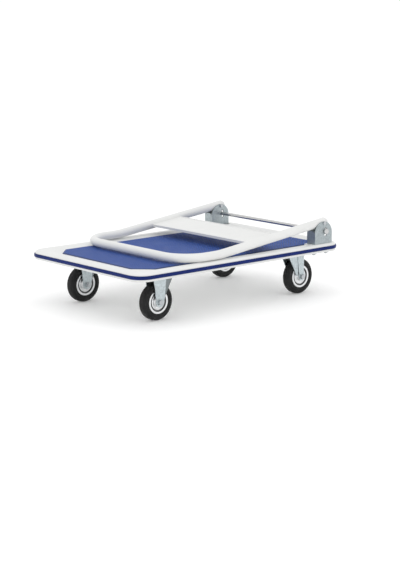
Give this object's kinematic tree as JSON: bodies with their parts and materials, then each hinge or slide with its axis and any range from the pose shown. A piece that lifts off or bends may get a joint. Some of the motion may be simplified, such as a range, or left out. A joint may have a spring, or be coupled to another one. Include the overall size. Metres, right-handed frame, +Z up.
{
  "type": "folding platform cart",
  "caption": "Flat pressed-steel platform on rigid and swivel casters, with a hinged U handle that folds down onto the deck and a sprung release rod at the hinge end.",
  "frame": {"origin": "on the ground under the middle of the platform", "axes": "+X towards the end with the handle's hinges and the swivel casters, +Y across the platform, +Z up"},
  "size_m": [0.74, 0.48, 0.2193],
  "materials": {
    "white_enamel": "satin white powder coat",
    "mat_vinyl": "matte ribbed vinyl",
    "bumper_vinyl": "satin soft vinyl",
    "zinc_plate": "bright zinc plating",
    "bolt_steel": "zinc-plated hardware",
    "rod_steel": "bright plated rod",
    "tyre_rubber": "matte black rubber",
    "rim_steel": "plated pressed steel",
    "cam_nylon": "matte moulded"
  },
  "bodies": {
    "platform": {"deck_tray": "white_enamel", "deck_mat": "mat_vinyl", "edge_bumper": "bumper_vinyl", "front_channel": "white_enamel", "rear_channel": "white_enamel", "stiffener_rails": "white_enamel", "left_hinge_bracket": "zinc_plate", "right_hinge_bracket": "zinc_plate", "bracket_bolts": "bolt_steel", "bracket_nuts": "bolt_steel", "pivot_bolts": "bolt_steel", "pivot_nuts": "bolt_steel", "release_springs": "bolt_steel", "front_left_fork": "zinc_plate", "front_right_fork": "zinc_plate", "front_axles": "bolt_steel", "front_axle_nuts": "bolt_steel", "swivel_top_plates": "zinc_plate", "swivel_kingpins": "bolt_steel", "caster_bolts": "bolt_steel", "caster_nuts": "bolt_steel"},
    "handle": {"handle_tube": "white_enamel", "handle_panel": "white_enamel", "hinge_end_cams": "cam_nylon"},
    "release_bar": {"release_rod": "rod_steel", "release_rod_caps": "rod_steel"},
    "left_swivel": {"left_swivel_fork": "zinc_plate", "left_swivel_race": "bolt_steel", "left_axle": "bolt_steel", "left_axle_nut": "bolt_steel"},
    "right_swivel": {"right_swivel_fork": "zinc_plate", "right_swivel_race": "bolt_steel", "right_axle": "bolt_steel", "right_axle_nut": "bolt_steel"},
    "front_left_wheel": {"front_left_tyre": "tyre_rubber", "front_left_rim": "rim_steel", "front_left_bush": "bolt_steel"},
    "front_right_wheel": {"front_right_tyre": "tyre_rubber", "front_right_rim": "rim_steel", "front_right_bush": "bolt_steel"},
    "rear_left_wheel": {"rear_left_tyre": "tyre_rubber", "rear_left_rim": "rim_steel", "rear_left_bush": "bolt_steel"},
    "rear_right_wheel": {"rear_right_tyre": "tyre_rubber", "rear_right_rim": "rim_steel", "rear_right_bush": "bolt_steel"}
  },
  "joints": [
    {"name": "handle_fold", "type": "hinge", "parent": "platform", "child": "handle", "pos_m": [0.3055, 0, 0.206], "axis": [0, 1, 0], "range_deg": [0, 101.7]},
    {"name": "release_press", "type": "slide", "parent": "platform", "child": "release_bar", "axis": [0, 0, -1], "range_m": [0, 0.008], "stiffness_N_per_m": 800, "springref_m": -0.006, "deforming": ["release_springs"]},
    {"name": "left_swivel_turn", "type": "hinge", "parent": "platform", "child": "left_swivel", "pos_m": [0.249, 0.156, 0.118], "axis": [0, 0, 1], "continuous": true},
    {"name": "right_swivel_turn", "type": "hinge", "parent": "platform", "child": "right_swivel", "pos_m": [0.249, -0.156, 0.118], "axis": [0, 0, 1], "continuous": true},
    {"name": "front_left_roll", "type": "hinge", "parent": "platform", "child": "front_left_wheel", "pos_m": [-0.246, 0.156, 0.05], "axis": [0, 1, 0], "continuous": true},
    {"name": "front_right_roll", "type": "hinge", "parent": "platform", "child": "front_right_wheel", "pos_m": [-0.246, -0.156, 0.05], "axis": [0, 1, 0], "continuous": true},
    {"name": "rear_left_roll", "type": "hinge", "parent": "left_swivel", "child": "rear_left_wheel", "pos_m": [0.276, 0.156, 0.05], "axis": [0, 1, 0], "continuous": true},
    {"name": "rear_right_roll", "type": "hinge", "parent": "right_swivel", "child": "rear_right_wheel", "pos_m": [0.276, -0.156, 0.05], "axis": [0, 1, 0], "continuous": true}
  ]
}
